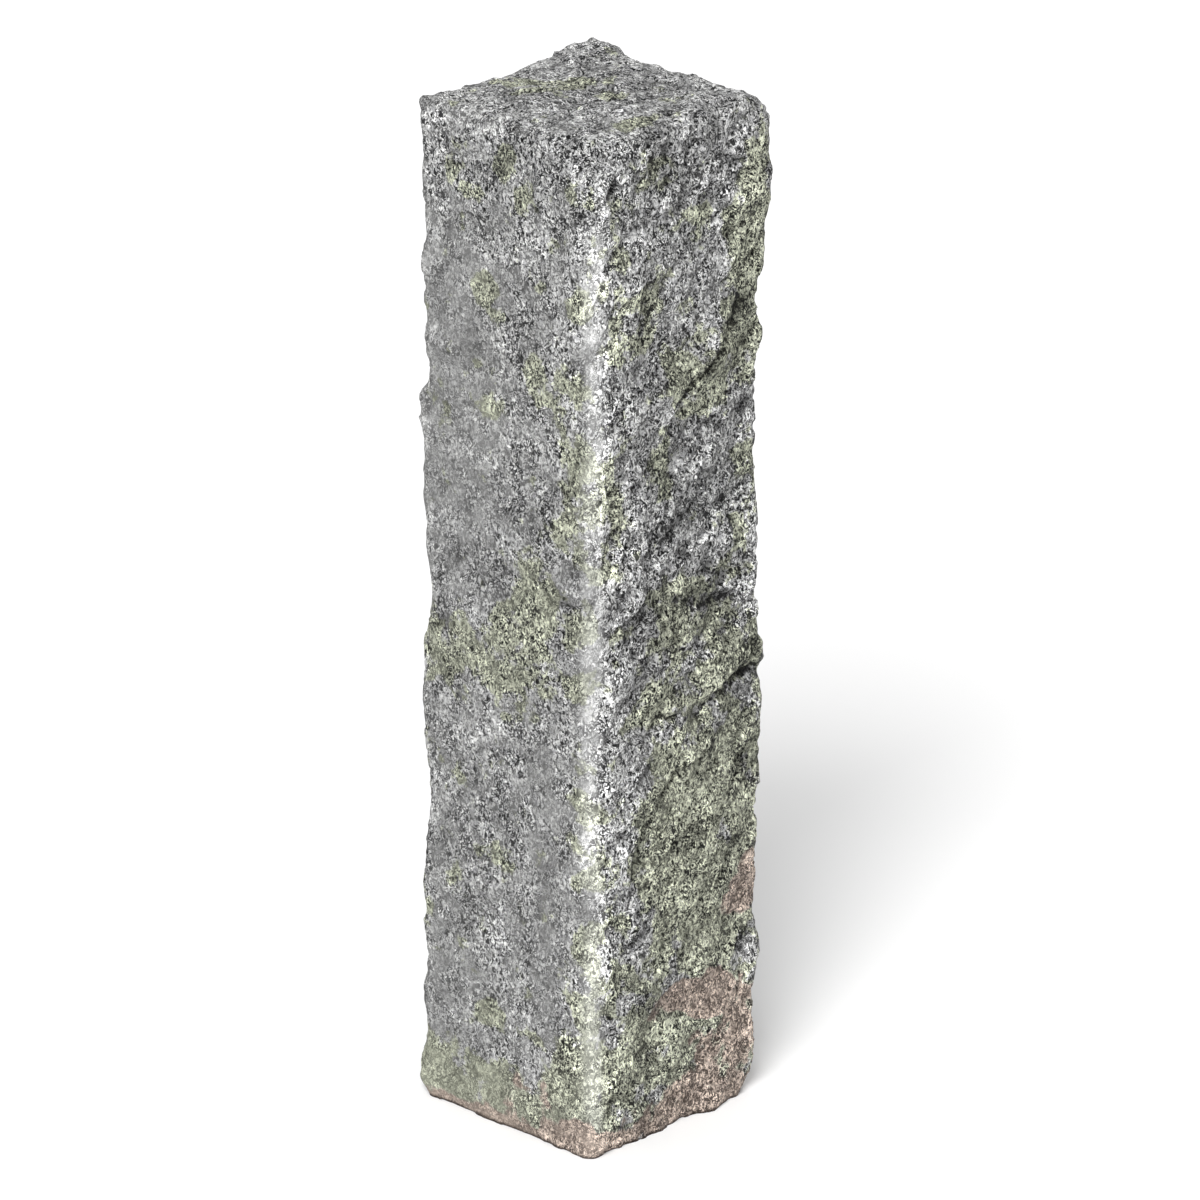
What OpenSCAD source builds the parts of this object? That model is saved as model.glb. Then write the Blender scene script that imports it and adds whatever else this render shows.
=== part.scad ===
// Granite boundary stone: a square pillar split from the block, standing on its foot.
// Origin at the middle of the foot, +Z up. The front face looks along -Y, the right face along +X.

/* [Pillar] */
// Height of the pillar from the foot to the rim of the head
pillar_h = 500; // [300:10:700]
// Width across X, from the left face to the right face, at mid height
pillar_w = 111; // [80:1:150]
// Depth across Y, from the front face to the back face, at mid height
pillar_d = 113; // [80:1:150]
// How much wider the foot is than the head
taper = 3; // [0:0.5:12]

/* [Arrises] */
// Radius of the worn arris between the front and right faces
worn_arris_r = 9; // [4:0.5:20]
// Radius of the three sharper arrises
arris_r = 3; // [2:0.5:12]
// Radius where the faces turn over into the head
head_r = 4; // [2:0.5:15]
// Length of the longest scallop knocked out of an arris
scallop_length = 60; // [30:1:90]
// Depth of the deepest scallop
scallop_depth = 4; // [0:0.5:8]
// Depth of the deepest broken corner, measured in from the sharp corner
broken_depth = 13; // [0:0.5:24]

/* [Split faces] */
// Rise and fall of the broad swells
swell_h = 1.2; // [0:0.1:4]
// Distance from one broad swell to the next
swell_pitch = 85; // [40:5:200]
// Rise and fall of the hackles, the short waves that a split leaves on a rough face
hackle_h = 2.8; // [0:0.1:4]
// Distance across one hackle
hackle_pitch = 17; // [12:1:40]
// How many times longer than wide a hackle is
hackle_stretch = 2; // [1:0.1:4]
// Slope of the hackles on a face, where 0 is level
hackle_slope = 40; // [0:1:90]
// Height of the tallest boss and depth of the deepest hollow
boss_h = 6; // [0:0.5:12]
// Distance over which the widest boss or hollow dies away
boss_reach = 80; // [40:1:120]
// Height of the tallest ledge left where the split changed level
ledge_h = 4; // [0:0.5:8]
// Distance over which the longest ledge dies away
ledge_reach = 50; // [25:1:80]

/* [Hidden] */

GRANITE = [0.56, 0.56, 0.55];

// Arrises and faces are counted anticlockwise from above. Arris 0 is the worn one, and face i
// runs from arris i to arris i + 1: 0 is the right face, 1 the back, 2 the left and 3 the front.
CORNERS = [[1, -1], [1, 1], [-1, 1], [-1, -1]];
FACE_ROUGHNESS = [1, 0.8, 0.7, 0.35];
HEAD_ROUGHNESS = 0.6;
// Where the pattern of the hackles begins
HACKLE_START = [7, 3, 5];
half = [pillar_w / 2, pillar_d / 2];

// About 3,500 squares cover the four faces, whatever the pillar's size
facet = sqrt(pillar_h * (pillar_w + pillar_d)) / 42;
arris_steps = 3;
head_arc_steps = 3;
face_steps = ceil((pillar_w + pillar_d) / 2 / facet);
rise_steps = ceil(pillar_h / facet);
head_steps = ceil(max(half) / facet);
// The pillar is drawn this far below the floor and then cut off flat, which leaves one true foot face
foot_cut = facet;

// Scallops along an arris: [arris, share of the height, share of the length, share of the depth]
ARRIS_SCALLOPS = [
  [3, 0.888, 0.25, 0.6], [3, 0.785, 0.35, 0.5], [3, 0.735, 0.5, 1], [3, 0.575, 0.5, 0.4],
  [3, 0.515, 0.9, 1.1], [3, 0.31, 1, 0.8], [3, 0.14, 0.4, 0.6], [3, 0.065, 0.4, 0.5],
  [1, 0.72, 0.6, 0.5], [1, 0.513, 0.4, 0.6], [1, 0.193, 0.5, 0.6], [1, 0.09, 0.8, 0.7],
  [0, 0.83, 0.7, 0.3], [0, 0.64, 0.6, 0.4], [0, 0.455, 0.7, 0.8], [0, 0.25, 0.7, 0.3],
  [2, 0.9, 0.7, 0.6], [2, 0.76, 0.5, 0.9], [2, 0.64, 0.9, 0.5], [2, 0.47, 0.6, 0.8],
  [2, 0.3, 1, 1], [2, 0.11, 0.6, 0.6],
];

// Scallops along a rim: [face, place along it from -0.5 to 0.5, share of the length, share of the depth]
HEAD_SCALLOPS = [
  [2, 0.05, 1, 1.2], [1, 0.2, 0.5, 1.2], [0, -0.05, 0.6, 1], [3, -0.2, 0.6, 0.7], [3, 0.25, 0.5, 0.8],
];
FOOT_SCALLOPS = [
  [0, 0.05, 0.4, 0.7], [0, -0.38, 0.4, 0.3], [3, 0.12, 0.5, 0.3], [3, -0.3, 0.4, 0.2],
  [1, -0.2, 0.8, 1], [1, 0.3, 0.5, 0.6], [2, -0.1, 0.7, 0.8], [2, 0.32, 0.6, 0.5],
];

// How much the scallops of a rim look up or down, where 0 is level and 1 is as much up as out
HEAD_LEAN = 1.4;
FOOT_LEAN = -1;

// Broken corners: [arris, 0 for the foot or 1 for the head, tilt up or down, share of the depth]
BROKEN_CORNERS = [[0, 1, 1.1, 1], [1, 1, 1.6, 0.4], [1, 0, 0.8, 0.55], [2, 0, 0.7, 0.5], [3, 0, 1, 0.15]];

// Bosses and hollows: [share of half width, of half depth, of height, of boss_reach, of boss_h]
BOSSES = [
  [1, 0.95, 0.92, 0.8, 1], [1, 0.2, 0.58, 0.6, -0.6], [1, -0.45, 0.8, 0.5, -0.35],
  [1, 0.45, 0.78, 0.35, 0.45], [1, 0.5, 0.33, 0.75, 0.4], [1, -0.08, 0.71, 0.25, 0.25],
  [1, 0.6, 0.47, 0.25, 0.25], [1, -0.5, 0.345, 0.3, 0.2], [1, 0.05, 0.13, 0.3, 0.3],
  [0.2, -1, 0.3, 1, -0.2], [-0.5, -1, 0.75, 0.9, 0.2],
  [-0.2, 1, 0.7, 0.75, 0.6], [0.3, 1, 0.35, 0.75, -0.6], [0.5, 0.9, 1, 0.7, -0.35],
  [0.4, 1, 0.85, 0.35, 0.35], [-0.5, 1, 0.45, 0.35, 0.35],
  [-1, -0.1, 0.82, 0.75, -0.4], [-1, 0.2, 0.48, 0.9, 0.5], [-1, -0.3, 0.18, 0.7, -0.4],
  [-1, 0.3, 0.68, 0.35, 0.3], [-0.8, 0.95, 1, 0.45, 0.45],
];

// Ledges: [share of half width, of half depth, of height, of ledge_reach, of ledge_h, way].
// The way that a ledge looks is an angle in the face's own plane: 0 along the face, 90 up.
LEDGES = [
  [1, 0.44, 0.75, 0.7, 0.9, 302], [1, 0.42, 0.53, 0.8, 0.7, 319], [1, 0.44, 0.43, 0.9, 0.8, 276],
  [1, -0.44, 0.54, 0.6, 0.5, 288], [1, 0.05, 0.616, 0.5, 0.45, 311], [1, -0.39, 0.84, 0.7, 0.4, 350],
  [1, -0.5, 0.3, 0.6, 0.5, 345], [1, 0.1, 0.365, 0.7, 0.4, 295], [1, -0.1, 0.21, 0.6, 0.4, 270],
  [0, -1, 0.53, 0.45, -0.5, 300],
  [0.3, 1, 0.6, 0.9, 1, 280], [-0.4, 1, 0.25, 1, 0.8, 220], [-0.3, 1, 0.78, 0.7, 0.7, 300],
  [0.4, 1, 0.43, 0.6, 0.6, 310],
  [-1, 0.3, 0.65, 0.9, 0.9, 290], [-1, -0.2, 0.33, 0.9, 0.7, 200], [-1, -0.4, 0.5, 0.6, 0.5, 260],
];

function ease(t) = t * t * (3 - 2 * t);
function clamp01(t) = min(1, max(0, t));
function mix(a, b, t) = a + (b - a) * t;
function unit(v) = v / norm(v);
function sum(list, i = 0) = i < len(list) ? list[i] + sum(list, i + 1) : 0;

// A repeatable random value from -1 to 1 for each corner of a cubic lattice
function lattice(c) = let (s = sin(c.x * 127.1 + c.y * 311.7 + c.z * 74.7) * 43758.5) 2 * (s - floor(s)) - 1;

// Lattice values mixed along an edge, then a face, then the whole cell
function mixed_x(c, t) = mix(lattice(c), lattice(c + [1, 0, 0]), t.x);
function mixed_xy(c, t) = mix(mixed_x(c, t), mixed_x(c + [0, 1, 0], t), t.y);
function waves(p) =
  let (c = [for (v = p) floor(v)], t = [for (i = [0:2]) ease(p[i] - c[i])])
  mix(mixed_xy(c, t), mixed_xy(c + [0, 0, 1], t), t.z);

// One turn round the section: each entry is a place, the way out of the stone there, and how rough it is
function radius(k) = k == 0 ? worn_arris_r : arris_r;
function arc_centre(k) = [for (i = [0, 1]) CORNERS[k][i] * (half[i] - radius(k))];
function way(angle) = [cos(angle), sin(angle)];
function arris_turn(k) = [
  for (i = [0:arris_steps])
    let (t = i / arris_steps, out = way(90 * (k - 1 + t)))
      [arc_centre(k) + radius(k) * out, out, mix(FACE_ROUGHNESS[(k + 3) % 4], FACE_ROUGHNESS[k], t)]
];
// Facets are narrower towards the arrises, where the scallops need them
function spread(t) = (1 + (2 * t - 1 + sin(90 * (2 * t - 1))) / 2) / 2;
function face_run(k) =
  let (
    start = arc_centre(k) + radius(k) * way(90 * k),
    finish = arc_centre((k + 1) % 4) + radius((k + 1) % 4) * way(90 * k)
  )
  [
    for (i = [1:face_steps - 1])
      [mix(start, finish, spread(i / face_steps)), way(90 * k), FACE_ROUGHNESS[k]]
  ];
section = [for (k = [0:3]) each concat(arris_turn(k), face_run(k))];

// The rings from the foot to the head: each is [size as a share of the section, height, turn of the way out]
rings = concat(
  [for (i = [0:rise_steps]) [1, mix(-foot_cut, pillar_h - head_r, i / rise_steps), 0]],
  [
    for (i = [1:head_arc_steps])
      let (turn = 90 * i / head_arc_steps)
        [1 - head_r * (1 - cos(turn)) / max(half), pillar_h - head_r * (1 - sin(turn)), turn]
  ],
  [for (i = [1:head_steps - 1]) [(1 - head_r / max(half)) * (1 - i / head_steps), pillar_h, 90]]
);

function tapered(z) = 1 + taper * (0.5 - z / pillar_h) / (pillar_w + pillar_d) * 2;
function face_place(share) = [share.x * half.x, share.y * half.y, share.z * pillar_h];

// How far a boss, hollow or ledge pushes the surface out at p
function fade(p, centre, reach) = let (d = norm(p - centre) / reach) d < 1 ? pow(1 - d * d, 2) : 0;
function along_face(share) = abs(share.x) == 1 ? [0, share.x, 0] : [-share.y, 0, 0];
function ledge_side(p, ledge) =
  let (up = [0, 0, 1], facing = along_face(ledge) * cos(ledge[5]) + up * sin(ledge[5]))
  ease(clamp01(0.5 - (p - face_place(ledge)) * facing / facet));
// Places in a frame that draws a form out along the slope of the hackles, on each of the four faces
function slanted(p) =
  let (level = p.x + p.y, rise = sin(hackle_slope), run = cos(hackle_slope))
  [(level * run + p.z * rise) / hackle_stretch, p.z * run - level * rise, (p.x - p.y) / 2];
// Hackles meet in creases, and their mean height is about nought
function hackles(p) = 2 * abs(waves(slanted(p) / hackle_pitch + HACKLE_START)) - 0.6;
function relief(p, roughness) =
  swell_h * waves(p / swell_pitch)
  + hackle_h * roughness * hackles(p)
  + sum([for (b = BOSSES) boss_h * b[4] * fade(p, face_place(b), b[3] * boss_reach)])
  + sum([for (b = LEDGES) ledge_h * b[4] * fade(p, face_place(b), b[3] * ledge_reach) * ledge_side(p, b)]);

// A scallop is the bite of a ball that stands outside the stone: [centre of the ball, its radius]
function bite(edge, out, length, depth) =
  let (r = (length * length / 4 / depth + depth) / 2) [edge + out * (r - depth), r];
function arris_edge(k, z) =
  let (at = (arc_centre(k) + radius(k) * unit(CORNERS[k])) * tapered(z)) [at.x, at.y, z];
function rim_edge(k, along, z) =
  let (n = way(90 * k)) [n.x * half.x - n.y * along * pillar_w, n.y * half.y + n.x * along * pillar_d, z];
function rim_bites(scallops, z, lean) = [
  for (s = scallops)
    let (n = way(90 * s[0]))
      bite(rim_edge(s[0], s[1], z), unit([n.x, n.y, lean]), s[2] * scallop_length, s[3] * scallop_depth)
];
bites = scallop_depth == 0 ? [] : concat(
  [
    for (s = ARRIS_SCALLOPS)
      let (c = CORNERS[s[0]], out = unit([c.x, c.y, 0]))
        bite(arris_edge(s[0], s[1] * pillar_h), out, s[2] * scallop_length, s[3] * scallop_depth)
  ],
  rim_bites(HEAD_SCALLOPS, pillar_h, HEAD_LEAN),
  rim_bites(FOOT_SCALLOPS, 0, FOOT_LEAN)
);
function bitten(p, i = 0) =
  i == len(bites) ? p
  : let (away = p - bites[i][0], d = norm(away), r = bites[i][1])
    bitten(d < r ? bites[i][0] + away * r / d : p, i + 1);

// A broken corner is a flat cut: points past it are pressed back on to it
breaks = [
  for (b = BROKEN_CORNERS)
    let (c = CORNERS[b[0]], up = b[1] == 1 ? 1 : -1)
      [[c.x * half.x, c.y * half.y, b[1] * pillar_h], unit([c.x, c.y, up * b[2]]), b[3] * broken_depth]
];
function broken(p, i = 0) =
  i == len(breaks) ? p
  : let (past = (p - breaks[i][0]) * breaks[i][1] + breaks[i][2])
    broken(past > 0 ? p - past * breaks[i][1] : p, i + 1);

function surface_point(spot, ring) =
  let (
    grow = ring[0] * tapered(ring[1]),
    p = [spot[0].x * grow, spot[0].y * grow, ring[1]],
    out = [spot[1].x * cos(ring[2]), spot[1].y * cos(ring[2]), sin(ring[2])]
  )
  broken(bitten(p + out * relief(p, mix(spot[2], HEAD_ROUGHNESS, ring[2] / 90))));

module rough_stone() {
  n = len(section);
  m = len(rings);
  points = concat(
    [for (ring = rings, spot = section) surface_point(spot, ring)],
    [[0, 0, pillar_h + relief([0, 0, pillar_h], HEAD_ROUGHNESS)]]
  );
  walls = [
    for (j = [0:m - 2], i = [0:n - 1])
      let (a = j * n + i, b = j * n + (i + 1) % n, c = b + n, d = a + n)
        each (i + j) % 2 == 0 ? [[a, d, c], [a, c, b]] : [[a, d, b], [b, d, c]]
  ];
  crown = [for (i = [0:n - 1]) [(m - 1) * n + i, m * n, (m - 1) * n + (i + 1) % n]];
  foot = [[for (i = [0:n - 1]) i]];
  middle = [for (axis = [0, 1]) let (v = [for (p = points) p[axis]]) (min(v) + max(v)) / 2];
  translate([-middle.x, -middle.y, 0])
    polyhedron(points = points, faces = concat(walls, crown, foot));
}

module boundary_stone() {
  span = 2 * max(pillar_w, pillar_d);
  color(GRANITE)
    difference() {
      rough_stone();
      translate([-span / 2, -span / 2, -2 * foot_cut])
        cube([span, span, 2 * foot_cut]);
    }
}

boundary_stone();
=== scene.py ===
"""The looks of a granite boundary stone: split faces, mineral grains, a worn arris with a painted highlight
along it, algae and soil, and painted light and shade on the split relief.
"""

import math

import bpy
import numpy as np
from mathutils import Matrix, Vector


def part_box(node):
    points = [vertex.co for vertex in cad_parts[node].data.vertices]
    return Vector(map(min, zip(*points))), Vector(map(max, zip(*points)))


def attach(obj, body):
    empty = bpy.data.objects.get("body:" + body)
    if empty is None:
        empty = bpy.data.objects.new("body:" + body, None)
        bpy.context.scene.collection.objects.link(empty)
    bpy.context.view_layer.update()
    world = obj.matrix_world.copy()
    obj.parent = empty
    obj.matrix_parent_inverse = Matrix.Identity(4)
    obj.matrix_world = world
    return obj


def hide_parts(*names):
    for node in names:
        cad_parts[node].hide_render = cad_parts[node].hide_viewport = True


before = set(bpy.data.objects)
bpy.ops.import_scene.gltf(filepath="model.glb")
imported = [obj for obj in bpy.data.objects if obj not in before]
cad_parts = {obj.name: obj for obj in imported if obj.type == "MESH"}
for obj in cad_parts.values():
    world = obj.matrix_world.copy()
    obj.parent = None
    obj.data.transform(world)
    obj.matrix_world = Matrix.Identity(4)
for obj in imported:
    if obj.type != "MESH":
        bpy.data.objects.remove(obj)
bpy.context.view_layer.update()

MM = 0.001
STONE_NODE = "boundary_stone"

# The stone's own sizes, from the frame
LOW, HIGH = (np.array(corner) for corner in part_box(STONE_NODE))
MIDDLE = (LOW + HIGH) / 2
HALF = (HIGH - LOW) / 2
HEIGHT = HIGH[2]

# Which way each face looks, and which way is rightwards for someone facing it
X, Y, Z = np.eye(3)
FACE_WAY = {"right": X, "back": Y, "left": -X, "front": -Y, "head": Z, "foot": -Z}
RIGHTWARDS = {"right": Y, "back": -X, "left": -Y, "front": X, "head": X}
ARRISES = (("front", "right"), ("right", "back"), ("back", "left"), ("left", "front"))
WORN_ARRIS = ("front", "right")

# How rough each face split, from 0 to 1, and how much that changes from place to place
FACE_ROUGHNESS = {"right": 1.0, "back": 0.85, "left": 0.7, "front": 0.3, "head": 0.68, "foot": 0.0}
ROUGHNESS_CHANGE = 0.35
LEAST_ROUGHNESS = 0.35  # of the material, where a face split smoothly

FACET = 1.72 * MM  # edge of one square of the relief's mesh
WELD = 0.01 * MM
SMOOTHING_ROUNDS = 7  # takes the solid's own facets off before the relief goes on
EDGE_SMOOTHING_ROUNDS = 2  # keeps the arrises and rims as sharp as the solid's
HOLLOW_ROUNDS = {"hollow": 5, "broad_hollow": 53}  # of smoothing, which tell hollows from crowns
ARRIS_BREADTH, RIM_BREADTH = 1.4, 5.0  # how broadly arrises, and the rims of head and foot, count as edges
FOOT_REACH = 0.6 * FACET  # points that lie this near the foot are put on it

# Chips of a fully rough face, on the hackles of the solid: size of one, rise and fall, share kept on an arris
CHIPS = ((8.5 * MM, 1.9 * MM, 0.5), (4.2 * MM, 0.9 * MM, 0.9))
CHIP_SLOPE = math.radians(40)  # of the lines that the chips are drawn out along
CHIP_STRETCH = 2.0  # how much longer they are along those lines
CHIP_DEPTH_SHARE = 0.45  # how fast their pattern changes inwards through the stone
GRAIN_RELIEF = 0.25 * MM  # the same on every face

# How far the sharp corners of the head, and its rim on the left, stand out past the solid
HEAD_CORNERS = {("left", "front"): 3.0 * MM, ("right", "back"): 1.2 * MM}
HEAD_RIM = 1.0 * MM

# The worn band and the bruised band along the worn arris, pale partly from wear and partly as a painted
# highlight,
# in mm past it towards the right face: where each starts, is full, begins to end, and ends. Then the height
# of its top, and over what height it fades there.
WORN_AND_HIGHLIT_BAND = (-8, 2, 6, 13)
WORN_AND_HIGHLIT_TOP = (0.94 * HEIGHT, 24 * MM)
BRUISED_AND_HIGHLIT_BAND = (-4, 4, 22, 38)
BRUISED_AND_HIGHLIT_TOP = (0.97 * HEIGHT, 18 * MM)
WORN_ARRIS_KEEPS = 0.35  # share of the relief that is left in the worn band
# How both bands wander: (how far to the front face, distance between their bends, salt)
BAND_WANDERS = ((-6 * MM, 90 * MM, 136), (2 * MM, 16 * MM, 71))
# They swing to the front face below and above: (how far, share of height where that begins, where it is full)
BAND_SWINGS = ((3.0 * MM, 0.26, 0.18), (2.4 * MM, 0.78, 0.84))

# The front face is livelier near its top: (by how much, share of height where that begins, where it is full)
LIVELY_TOP = (0.5, 0.84, 0.96)
RIM_PAINTED_SHADE = 0.5  # of the head's rim, where it is painted shade

# Crevices: face, spots along it as (share of half width, share of height), and in mm the depth, the half
# width, and the step up to the stone above it
CREVICES = [
    ("right", [(0.06, 0.731), (0.21, 0.745), (0.36, 0.762), (0.5, 0.782), (0.66, 0.8)], 3.0, 2.2, 1.4),
    ("right", [(0.1, 0.7), (0.02, 0.675), (-0.12, 0.655)], 1.6, 1.6, -0.8),
    ("right", [(0.6, 0.514), (0.28, 0.519), (-0.05, 0.53)], 2.2, 2.6, 0.8),
    ("right", [(0.85, 0.438), (0.5, 0.43), (0.22, 0.42)], 3.0, 3.4, 1.2),
    ("right", [(0.33, 0.42), (0.05, 0.414), (-0.25, 0.425), (-0.36, 0.4)], 1.6, 1.8, 0.8),
    ("right", [(-0.08, 0.548), (-0.4, 0.533), (-0.75, 0.518)], 1.8, 2.0, 0.8),
    ("right", [(0.26, 0.62), (0.05, 0.605), (-0.18, 0.588)], 2.0, 2.4, 0.8),
    ("right", [(-0.3, 0.875), (-0.34, 0.84), (-0.42, 0.795)], 1.2, 1.6, 0.3),
    ("right", [(0.66, 0.412), (0.2, 0.37), (-0.2, 0.352), (-0.42, 0.32), (-0.52, 0.27)], 1.8, 2.0, 0.8),
    ("right", [(0.1, 0.3), (-0.1, 0.285), (-0.2, 0.272)], 1.8, 2.4, 0.8),
    ("right", [(0.2, 0.2), (-0.1, 0.22), (-0.45, 0.205)], 1.4, 2.6, 0.6),
    ("right", [(-0.47, 0.957), (-0.05, 0.946), (0.1, 0.95), (0.33, 0.953), (0.62, 0.944)], 1.6, 1.3, 1.0),
    ("right", [(-0.68, 0.962), (-0.64, 0.94)], 1.2, 1.6, 0.0),
    ("right", [(0.8, 0.955), (0.88, 0.92)], 1.4, 2.0, 0.6),
    ("back", [(-0.62, 0.745), (-0.3, 0.72), (0.1, 0.695)], 1.3, 2.4, 1.5),
    ("back", [(0.2, 0.605), (0.5, 0.57), (0.85, 0.56)], 1.2, 2.6, 1.2),
    ("back", [(-0.75, 0.47), (-0.35, 0.45), (-0.05, 0.415)], 1.2, 2.2, 1.4),
    ("back", [(0.1, 0.33), (0.5, 0.305)], 1.0, 2.6, -1.2),
    ("back", [(-0.5, 0.21), (-0.1, 0.165), (0.35, 0.15)], 1.3, 2.6, 1.4),
    ("left", [(-0.6, 0.86), (-0.3, 0.83), (0.05, 0.815)], 1.0, 2.4, 1.2),
    ("left", [(0.25, 0.65), (0.6, 0.615)], 0.9, 2.4, 1.3),
    ("left", [(-0.8, 0.52), (-0.4, 0.5), (-0.1, 0.46), (0.15, 0.45)], 1.1, 2.6, 1.3),
    ("left", [(-0.3, 0.24), (0.1, 0.215), (0.4, 0.18)], 1.0, 2.6, 1.2),
    ("front", [(0.43, 0.578), (0.54, 0.558), (0.67, 0.556)], 1.0, 1.4, 0.4),
    ("front", [(0.45, 0.548), (0.73, 0.549)], 0.8, 1.2, 0.5),
]
DEEPEST_CREVICE = 3.0
CREVICE_WIDTH_CHANGE = 0.4
STEP_RISE = 2.5 * MM  # the step beside a crevice rises over twice this distance
STEP_REACH = 14 * MM  # how far from the crevice the stone is raised
NO_CREVICE = 12.0  # a distance that is far from every crevice, as crevice() measures it

# Patches: face, middle and reach as (share of half width, share of height), and strength. On the head the
# second share is of its half depth.
ALGAE = [
    ("front", (-0.72, 0.46), (0.4, 0.045), 1.1),
    ("front", (-0.3, 0.472), (0.4, 0.04), 1.0),
    ("front", (0.1, 0.495), (0.4, 0.045), 0.9),
    ("front", (0.5, 0.47), (0.4, 0.02), 0.9),
    ("front", (0.85, 0.65), (0.35, 0.085), 0.8),
    ("front", (0.75, 0.54), (0.3, 0.03), 0.8),
    ("front", (0.3, 0.55), (0.22, 0.035), 1.0),
    ("front", (0.6, 0.75), (0.35, 0.03), 0.8),
    ("front", (0.8, 0.185), (0.2, 0.065), 0.85),
    ("front", (0.9, 0.283), (0.2, 0.012), 0.9),
    ("front", (0.9, 0.363), (0.2, 0.012), 0.9),
    ("front", (-0.95, 0.17), (0.14, 0.05), 0.6),
    ("front", (-0.3, 0.02), (1.3, 0.045), 1.3),
    ("front", (0.8, 0.04), (0.5, 0.08), 1.4),
    ("front", (-0.56, 0.941), (0.12, 0.02), 0.9),
    ("front", (-0.37, 0.916), (0.1, 0.014), 0.9),
    ("front", (-0.05, 0.955), (0.12, 0.018), 0.9),
    ("front", (0.14, 0.935), (0.1, 0.016), 0.9),
    ("front", (0.47, 0.902), (0.12, 0.016), 0.9),
    ("front", (0.85, 0.95), (0.25, 0.02), 0.9),
    ("front", (-0.21, 0.824), (0.12, 0.02), 0.9),
    ("front", (-0.05, 0.804), (0.12, 0.012), 0.9),
    ("front", (0.8, 0.837), (0.25, 0.014), 1.0),
    ("front", (0.33, 0.77), (0.12, 0.014), 0.9),
    ("front", (-0.04, 0.726), (0.12, 0.014), 0.9),
    ("front", (-0.22, 0.35), (0.12, 0.02), 0.8),
    ("front", (-0.22, 0.28), (0.1, 0.014), 0.8),
    ("front", (0.45, 0.24), (0.1, 0.014), 0.8),
    ("front", (-0.2, 0.11), (0.14, 0.02), 0.8),
    ("right", (-0.5, 0.81), (0.35, 0.03), 0.8),
    ("right", (-0.85, 0.87), (0.2, 0.04), 0.7),
    ("right", (-0.3, 0.95), (0.4, 0.025), 0.7),
    ("right", (0.3, 0.75), (0.45, 0.05), 1.1),
    ("right", (0.72, 0.84), (0.3, 0.12), 1.1),
    ("right", (0.2, 0.88), (0.14, 0.03), 0.8),
    ("right", (-0.85, 0.65), (0.35, 0.08), 0.7),
    ("right", (-0.1, 0.67), (0.25, 0.03), 0.6),
    ("right", (0.8, 0.58), (0.2, 0.08), 0.7),
    ("right", (0.2, 0.47), (0.85, 0.09), 0.85),
    ("right", (0.35, 0.28), (0.75, 0.15), 1.5),
    ("right", (-0.75, 0.2), (0.4, 0.13), 0.6),
    ("right", (0.0, 0.08), (1.2, 0.08), 0.9),
    ("right", (-0.72, 0.055), (0.3, 0.035), 1.3),
    ("back", (-0.2, 0.3), (0.9, 0.2), 1.2),
    ("back", (0.5, 0.7), (0.5, 0.1), 0.7),
    ("left", (0.2, 0.15), (0.9, 0.15), 0.9),
    ("left", (-0.4, 0.6), (0.5, 0.1), 0.6),
    ("head", (-0.52, -0.18), (0.22, 0.22), 0.9),
    ("head", (-0.33, 0.05), (0.14, 0.14), 0.9),
    ("head", (0.17, 0.09), (0.14, 0.14), 0.9),
    ("head", (0.66, -0.22), (0.12, 0.14), 0.9),
    ("head", (0.54, 0.43), (0.16, 0.14), 0.9),
]
SOIL = [
    ("front", (0.0, -0.01), (1.5, 0.025), 0.9),
    ("front", (0.4, 0.03), (0.12, 0.04), 0.6),
    ("front", (0.9, 0.0), (0.5, 0.035), 1.0),
    ("front", (0.1, 0.03), (0.2, 0.03), 0.5),
    ("right", (-0.9, 0.0), (0.4, 0.025), 1.0),
    ("right", (0.35, 0.0), (1.1, 0.05), 0.8),
    ("right", (0.7, 0.08), (0.3, 0.05), 0.75),
    ("right", (0.5, 0.05), (0.5, 0.04), 0.6),
    ("right", (0.2, 0.125), (0.5, 0.022), 0.95),
    ("right", (0.75, 0.21), (0.3, 0.03), 1.0),
    ("back", (-0.7, 0.0), (0.55, 0.085), 0.8),
    ("back", (0.15, -0.01), (0.6, 0.05), 0.75),
    ("back", (0.9, 0.0), (0.35, 0.075), 0.8),
    ("left", (-0.7, 0.0), (0.5, 0.06), 0.8),
    ("left", (0.4, -0.01), (0.9, 0.035), 0.75),
]

# Painted shade in dark patches where the split's hollows and ledges lie in shadow
PAINTED_SHADE_PATCHES = [
    ("front", (0.95, 0.6), (0.35, 0.07), 0.7),
    ("front", (-0.75, 0.55), (0.3, 0.05), 0.4),
    ("right", (0.42, 0.535), (0.35, 0.035), 0.7),
    ("right", (0.35, 0.5), (0.25, 0.02), 0.5),
    ("right", (-0.1, 0.21), (0.35, 0.025), 0.5),
    ("right", (0.0, 0.965), (0.45, 0.014), 0.6),
    ("right", (0.85, 0.935), (0.15, 0.035), 0.6),
    ("right", (-0.35, 0.84), (0.12, 0.04), 0.6),
    ("right", (0.65, 0.435), (0.4, 0.014), 1.2),
    ("right", (0.0, 0.42), (0.25, 0.016), 0.5),
    ("right", (0.45, 0.76), (0.35, 0.02), 0.7),
    ("right", (-0.4, 0.325), (0.12, 0.03), 0.6),
    ("right", (0.0, 0.61), (0.2, 0.02), 0.7),
    ("right", (-0.5, 0.54), (0.25, 0.014), 0.7),
    ("right", (-0.35, 0.68), (0.2, 0.02), 0.4),
    ("right", (-0.75, 0.44), (0.3, 0.03), 0.5),
    ("right", (-0.75, 0.15), (0.3, 0.03), 0.4),
    ("back", (0.2, 0.64), (0.6, 0.03), 0.6),
    ("back", (-0.4, 0.25), (0.5, 0.04), 0.5),
    ("left", (0.1, 0.45), (0.6, 0.03), 0.5),
]
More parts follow.
